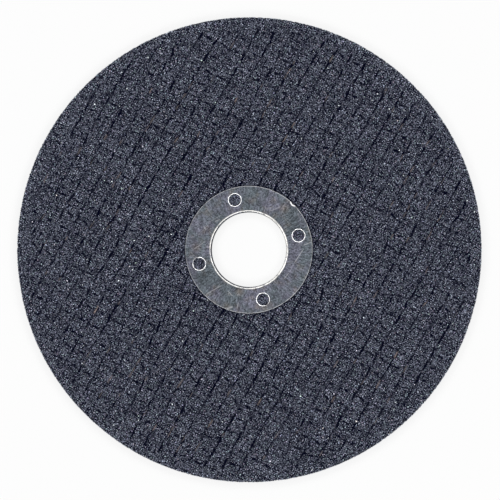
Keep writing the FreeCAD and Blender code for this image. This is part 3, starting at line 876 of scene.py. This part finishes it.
def make_edges_group():
    """Where highlights are painted on the sheet: the bend, stronger on the right, the outer edge, stronger
    at top and bottom, the drawn lips and the nick.

    Wall is painted shade on the collar inside the bend, deepest at the left."""
    names = ["Lips", "Bend", "Edge", "Wall"]
    group, entrance, leaving = new_group("painted_edge_light", {"Soft": 0.06 * MM}, names)
    x, y = face_axes(group)
    radius = length_of(group, x, y)

    def within(value, limits):
        """One between two limits in millimetres."""
        low, high = limits
        return band(group, value, low * MM, high * MM, entrance.outputs["Soft"])

    def along(turn):
        """How far out a place lies in the direction of a turn."""
        part = product(group, x, math.cos(turn))
        rest = product(group, y, math.sin(turn))
        return add_math(group, "ADD", part, rest)

    # Painted highlights on the lips of the four holes
    turn = math.radians(BARB_TURN)
    out = add_math(group, "ABSOLUTE", along(turn), 0.0)
    aside = add_math(group, "ABSOLUTE", along(turn + math.pi / 2), 0.0)
    far = add_math(group, "MAXIMUM", out, aside)
    near = add_math(group, "MINIMUM", out, aside)
    lips = within(length_of(group, difference(group, far, BARB_PLACE * MM), near), LIP_BAND)

    # Painted highlight on the nick
    nick = math.radians(NICK_TURN)
    reach = (RING_RADIUS + 0.5) * MM
    nick_x = difference(group, x, reach * math.cos(nick))
    nick_y = difference(group, y, reach * math.sin(nick))
    nick_highlight = within(length_of(group, nick_x, nick_y), NICK_BAND)

    # Painted highlight on the bend, stronger on the right, and on the edge, stronger at top and bottom;
    # painted shade on the collar's wall, deeper at the left
    right = add_math(group, "DIVIDE", x, 7 * MM, clamp=True)
    lit_bend = product(group, within(radius, LIT_BEND_BAND), right)
    height = add_math(group, "DIVIDE", add_math(group, "ABSOLUTE", y, 0.0), 12 * MM, clamp=True)
    lit = add_math(group, "ADD", product(group, height, 0.6), 0.5)
    shaded = difference(group, 0.35, add_math(group, "DIVIDE", x, 12 * MM), clamp=True)
    values = (
        add_math(group, "MAXIMUM", lips, nick_highlight),
        add_math(group, "MAXIMUM", within(radius, BEND_BAND), lit_bend),
        product(group, within(radius, EDGE_BAND), lit),
        product(group, within(radius, WALL_BAND), shaded),
    )
    for name, value in zip(names, values):
        group.links.new(value, leaving.inputs[name])
    return group


def make_scratch_group():
    """One straight scratch from a point to another, as a mask that thins out toward its ends."""
    inputs = {"From X": 0.0, "From Y": 0.0, "To X": 0.001, "To Y": 0.0, "Width": 0.1 * MM}
    group, entrance, leaving = new_group("scratch", inputs, ["Mask"])
    start_x, start_y, end_x, end_y, width = entrance.outputs[:5]
    x, y = face_axes(group)
    run_x = difference(group, end_x, start_x)
    run_y = difference(group, end_y, start_y)
    run = length_of(group, run_x, run_y)
    from_x = difference(group, x, start_x)
    from_y = difference(group, y, start_y)
    dot = add_math(group, "ADD", product(group, from_x, run_x), product(group, from_y, run_y))
    cross = difference(group, product(group, from_x, run_y), product(group, from_y, run_x))
    along = add_math(group, "DIVIDE", add_math(group, "DIVIDE", dot, run), run)
    aside = add_math(group, "ABSOLUTE", add_math(group, "DIVIDE", cross, run), 0.0)
    beside = difference(group, 1.0, add_math(group, "DIVIDE", aside, width), clamp=True)
    inside = band(group, along, 0.0, 1.0, 0.15)
    group.links.new(product(group, beside, inside), leaving.inputs["Mask"])
    return group


def make_rolled_group():
    """Fine strokes that run outward from the bore: a factor about one."""
    inputs = {"Width": 0.0003, "Length": 0.0015, "Strength": 0.5}
    group, entrance, leaving = new_group("rolled_strokes", inputs, ["Factor"])
    x, y = face_axes(group)
    radius = length_of(group, x, y)
    middle_of_flange = 0.011
    wide = add_math(group, "DIVIDE", middle_of_flange, entrance.outputs["Width"])
    place = group.nodes.new("ShaderNodeCombineXYZ")
    for axis, value in (("X", x), ("Y", y)):
        direction = add_math(group, "DIVIDE", value, radius)
        group.links.new(product(group, direction, wide), place.inputs[axis])
    group.links.new(add_math(group, "DIVIDE", radius, entrance.outputs["Length"]), place.inputs["Z"])
    noise = group.nodes.new("ShaderNodeTexNoise")
    set_inputs(noise, {"Scale": 1.0, "Detail": 1.0})
    group.links.new(place.outputs["Vector"], noise.inputs["Vector"])
    factor = about_one(group, noise.outputs["Fac"], entrance.outputs["Strength"])
    group.links.new(factor, leaving.inputs["Factor"])
    return group


def blend_colours(tree, factor, first, second):
    """A blend from the first colour to the second."""
    mix = tree.nodes.new("ShaderNodeMix")
    mix.data_type = "RGBA"
    tree.links.new(factor, mix.inputs["Factor"])
    for name, colour in (("A", first), ("B", second)):
        if not isinstance(colour, bpy.types.NodeSocket):
            colour = (*colour, 1)
        feed(tree, mix.inputs[name], colour)
    return mix.outputs["Result"]


# Scratches of the ring, after the photograph: from and to in its pixels, width in mm, brightness
SCRATCHES = [
    ((303.2, 248.3), (293.6, 262.8), 0.1, 0.8),
    ((294.2, 262.0), (288.0, 273.0), 0.08, 0.3),
    ((288.6, 272.2), (282.8, 279.2), 0.11, 0.6),
    ((310.8, 241.6), (302.8, 244.9), 0.11, 0.75),
    ((226.0, 308.4), (232.6, 306.0), 0.3, 0.6),
    ((202.8, 225.6), (205.8, 229.8), 0.26, 0.35),
    ((208.6, 230.2), (212.4, 235.0), 0.12, 0.35),
    ((214.0, 221.4), (219.8, 218.6), 0.24, 0.4),
    ((264.6, 208.9), (274.0, 206.0), 0.24, 0.3),
    ((296.6, 212.8), (301.0, 220.4), 0.1, 0.25),
    ((258.0, 290.0), (270.4, 283.4), 0.1, 0.25),
    ((205.0, 294.0), (221.0, 285.0), 0.12, 0.6),
    ((227.0, 290.0), (232.5, 296.0), 0.12, 0.6),
    ((236.5, 308.0), (238.0, 302.0), 0.16, 0.5),
    ((192.0, 249.5), (206.0, 240.0), 0.14, 0.35),
    ((268.0, 211.0), (281.0, 206.0), 0.16, 0.4),
    ((206.0, 223.0), (222.0, 214.0), 0.1, 0.35),
    ((196.0, 236.0), (210.0, 222.0), 0.1, 0.25),
]

# Stains of the ring in the photograph: centre in its pixels, radius in mm, strength
STAINS = [((239, 291), 1.3, 0.8), ((284, 208), 1.5, 0.7), ((226, 306), 1.2, 0.6), ((196, 247), 1.4, 0.6)]

# Pixels of the photograph where a hole's lip loses its painted highlight and is darkened nearly black, and
# how far round them in mm
LIP_BREAKS = [(267.0, 303.8), (194.7, 260.0)]
LIP_BREAK_REACH = 0.9

# Colours of the sheet: clean in two hues, stained, scratched through, and nearly black where a lip's painted
# highlight breaks
TIN_TEAL = (0.112, 0.1315, 0.151)
TIN_VIOLET = (0.1235, 0.126, 0.162)
TIN_STAINED = (0.156, 0.135, 0.118)
SCRATCH_BRIGHT = (0.5, 0.5, 0.52)
BROKEN_LIP_DARK = (0.03, 0.032, 0.04)

# Painted highlights and painted shade at the edges of the sheet: strength and colour
EDGE_PAINTED_LIGHT = (
    ("Edge", 1.1, (0.66, 0.67, 0.69)),
    ("Wall", 1.4, (0.02, 0.02, 0.025)),
    ("Bend", 1.0, (0.6, 0.59, 0.57)),
    ("Lips", 1.8, (0.95, 0.95, 0.95)),
)


def near_pixel(tree, pixel, reach):
    """One at a pixel of the photograph, falling to nothing at a distance in millimetres."""
    x, y = face_axes(tree)
    pixel_x, pixel_y = pixel_to_face(*pixel)
    beside = difference(tree, x, pixel_x * MM)
    above = difference(tree, y, pixel_y * MM)
    away = add_math(tree, "DIVIDE", length_of(tree, beside, above), reach * MM)
    return difference(tree, 1.0, away, clamp=True)


def make_steel_material(mottle, specks):
    """Dull tinned sheet with fine strokes, light stains and scratches, with painted highlights at its edges
    and painted shade on the collar's wall.
    """
    material, tree, shader = new_material("tinned_sheet")
    clouds = add_group(tree, mottle, Size=0.0035, Strength=0.22)
    spangle = add_group(tree, specks, Size=0.00024, Strength=0.5)
    strokes = add_group(tree, make_rolled_group(), Width=0.00028, Length=0.0012, Strength=0.42)
    patches = add_group(tree, mottle, Size=0.0022, Strength=1.5)
    stained = product(tree, difference(tree, patches.outputs["Factor"], 1.2, clamp=True), 0.5)
    for pixel, reach, strength in STAINS:
        stained = add_math(tree, "MAXIMUM", stained, product(tree, near_pixel(tree, pixel, reach), strength))
    hues = add_group(tree, mottle, Size=0.0031, Strength=1.3)
    violet = difference(tree, hues.outputs["Factor"], 0.6, clamp=True)
    colour = blend_colours(tree, violet, TIN_TEAL, TIN_VIOLET)
    colour = blend_colours(tree, stained, colour, TIN_STAINED)
    for factor in (clouds, spangle, strokes):
        colour = tint(tree, colour, factor.outputs["Factor"])

    scratch = make_scratch_group()
    for start, end, width, strength in SCRATCHES:
        values = (*pixel_to_face(*start), *pixel_to_face(*end), width)
        titles = ("From X", "From Y", "To X", "To Y", "Width")
        line = add_group(tree, scratch, **{title: value * MM for title, value in zip(titles, values)})
        shown = product(tree, line.outputs["Mask"], strength)
        colour = blend_colours(tree, shown, colour, SCRATCH_BRIGHT)

    # Painted highlights on the bend, the outer edge, the lips and the nick, and painted shade on the
    # collar's wall
    edges = add_group(tree, make_edges_group())
    breaks = add_group(tree, mottle, Size=0.0009, Strength=0.9)
    bands = {title: edges.outputs[title] for title, _, _ in EDGE_PAINTED_LIGHT}
    # Where a lip's painted highlight breaks, the lip is darkened nearly black
    for pixel in LIP_BREAKS:
        broken_lip = product(tree, near_pixel(tree, pixel, LIP_BREAK_REACH), 3.0, clamp=True)
        broken_lip = product(tree, broken_lip, edges.outputs["Lips"])
        colour = blend_colours(tree, broken_lip, colour, BROKEN_LIP_DARK)
        bands["Lips"] = product(tree, bands["Lips"], difference(tree, 1.0, broken_lip))
    for title, strength, painted_colour in EDGE_PAINTED_LIGHT:
        shown = product(tree, bands[title], strength)
        shown = product(tree, shown, breaks.outputs["Factor"], clamp=True)
        colour = blend_colours(tree, shown, colour, painted_colour)
    tree.links.new(colour, shader.inputs["Base Color"])
    tree.links.new(add_bump(tree, strokes.outputs["Factor"], 0.2, 0.00002), shader.inputs["Normal"])
    set_inputs(shader, {"Metallic": 1.0, "Roughness": 0.3})
    return material


def seen_directly(tree):
    """One where the camera or a reflection looks, or a ray that came through something."""
    rays = tree.nodes.new("ShaderNodeLightPath").outputs
    seen = add_math(tree, "MAXIMUM", rays["Is Camera Ray"], rays["Is Glossy Ray"])
    return add_math(tree, "MAXIMUM", seen, rays["Is Transmission Ray"])


def make_floor_material():
    """Plain white, with a light shadow kept."""
    material, tree, shader = new_material("white_floor")
    paint = {"Base Color": (0.9, 0.9, 0.9, 1), "Roughness": 1.0, "Specular IOR Level": 0.0}
    set_inputs(shader, paint)
    white = tree.nodes.new("ShaderNodeEmission")
    white.inputs["Color"].default_value = (0.98, 0.98, 0.98, 1)
    mix = tree.nodes.new("ShaderNodeMixShader")
    tree.links.new(product(tree, seen_directly(tree), 0.8), mix.inputs["Fac"])
    tree.links.new(shader.outputs["BSDF"], mix.inputs[1])
    tree.links.new(white.outputs["Emission"], mix.inputs[2])
    tree.links.new(mix.outputs["Shader"], tree.nodes["Material Output"].inputs["Surface"])
    return material


def make_floor():
    """A round sheet of white floor under the wheel."""
    sides = 64
    radius = 3.0
    turns = [2 * math.pi * k / sides for k in range(sides)]
    rim = [(radius * math.cos(turn), radius * math.sin(turn), 0) for turn in turns]
    mesh = bpy.data.meshes.new("floor")
    mesh.from_pydata(rim, [], [range(sides)])
    mesh.materials.append(make_floor_material())
    floor = bpy.data.objects.new("floor", mesh)
    bpy.context.scene.collection.objects.link(floor)
    floor.location.z = -0.00002


def make_world(level):
    """White where the camera or a reflection sees it, and a plain grey light for the rest."""
    world = bpy.data.worlds.new("white_room")
    bpy.context.scene.world = world
    world.use_nodes = True
    tree = world.node_tree
    background = tree.nodes["Background"]
    background.inputs["Color"].default_value = (1, 1, 1, 1)
    lit = product(tree, seen_directly(tree), 1 - level)
    tree.links.new(add_math(tree, "ADD", lit, level), background.inputs["Strength"])


def make_lamp(name, azimuth):
    """One soft square lamp of the ring of lamps, aimed at the wheel."""
    light = bpy.data.lights.new(name, "AREA")
    light.size = LAMP_SIZE
    light.energy = LAMP_POWER / LAMP_COUNT
    lamp = bpy.data.objects.new(name, light)
    turn = math.radians(azimuth)
    tilt = math.radians(LAMP_ELEVATION)
    level = math.cos(tilt)
    place = Vector((math.cos(turn) * level, math.sin(turn) * level, math.sin(tilt))) * LAMP_DISTANCE
    lamp.location = place
    lamp.rotation_euler = place.to_track_quat("Z", "Y").to_euler()
    lamp.visible_camera = False
    bpy.context.scene.collection.objects.link(lamp)


def make_camera():
    """The photograph's camera: far off and almost square on, a little to the right of the axis."""
    tilt = math.radians(3)
    toward = math.radians(-8)
    lens = 500
    data = bpy.data.cameras.new("photo_camera")
    data.lens = lens
    data.sensor_width = 36
    camera = bpy.data.objects.new("photo_camera", data)
    width = PHOTO_SIZE / PIXELS_PER_MM * MM
    distance = width * lens / data.sensor_width
    middle = (PHOTO_SIZE - 1) / 2
    x, y = pixel_to_face(middle, middle)
    back = Vector((math.sin(tilt) * math.cos(toward), math.sin(tilt) * math.sin(toward), math.cos(tilt)))
    right = Vector((1, 0, 0)) - back * back.x
    right.normalize()
    up = back.cross(right)
    turn = Matrix((right, up, back)).transposed().to_4x4()
    camera.matrix_world = Matrix.Translation(Vector((x, y, FACE_HEIGHT)) * MM + back * distance) @ turn
    data.clip_start = 0.01
    data.clip_end = 20
    bpy.context.scene.collection.objects.link(camera)
    bpy.context.scene.camera = camera


def hole_centres():
    """The centres of the ring's four pierced holes."""
    turns = [math.radians(BARB_TURN + 90 * k) for k in range(4)]
    return [(BARB_PLACE * math.cos(turn), BARB_PLACE * math.sin(turn)) for turn in turns]


def dress_disc(mottle, specks):
    """Everything that stands for the moulded disc."""
    front = Cloth(11)
    back = Cloth(12)
    bed = make_slate_material("resin_bed", mottle, specks, BED_GRIT, BED_BUMP, 0.6)
    grain = make_slate_material("crushed_grain", mottle, specks, GRAIN_CHIPS, GRAIN_BUMP, 0.42)
    front_bed = make_front_bed(front, bed)
    back_bed = make_back_bed(back, bed)
    pieces = [front_bed, back_bed, make_strands(front, make_strand_material(mottle))]

    rng = np.random.default_rng(41)
    face = Face(front, FACE_HEIGHT, 1)
    centres, sizes, tones = grain_on_face(rng, face, GRAIN_SPACING, RING_RADIUS + 0.12, GRAIN_SIZES)
    names = ("grain_fine", "grain_middle", "grain_coarse")
    shares = np.array_split(np.argsort(sizes), len(names))
    for name, share in zip(names, shares):
        grains = [(centres[share], sizes[share], tones[share])]
        pieces.append(bed_grain(name, rng, grains, grain))
    under = Face(back, DISC_LOW.z, -1)
    rest = [
        grain_on_rim(rng, RIM_GRAIN_COUNT, RIM_GRAIN_SIZES),
        grain_in_holes(rng, hole_centres(), HOLE_GRAIN_RADIUS, HOLE_GRAIN_SIZES),
        grain_on_face(rng, under, BACK_GRAIN_SPACING, COLLAR_RADIUS + 0.2, BACK_GRAIN_SIZES),
    ]
    pieces.append(bed_grain("grain_rim_and_back", rng, rest, grain))
    for piece in pieces:
        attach(piece, "root")
    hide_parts("abrasive_disc")
    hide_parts("abrasive_disc")


def dress_ring(mottle, specks):
    """The material of the pressed ring, with painted highlights and painted shade at its edges, on its own
    mesh.
    """
    ring = frame["nodes"]["bore_ring"]
    steel = make_steel_material(mottle, specks)
    for slot in ring.material_slots:
        slot.material = steel


mottle_group = make_mottle_group()
speck_group = make_speck_group()
dress_disc(mottle_group, speck_group)
dress_ring(mottle_group, speck_group)
make_floor()
make_world(level=0.3)
for number in range(LAMP_COUNT):
    make_lamp(f"side_lamp_{number + 1}", 360 / LAMP_COUNT * (number + 0.5))
make_camera()
bpy.context.scene.view_settings.view_transform = "Standard"
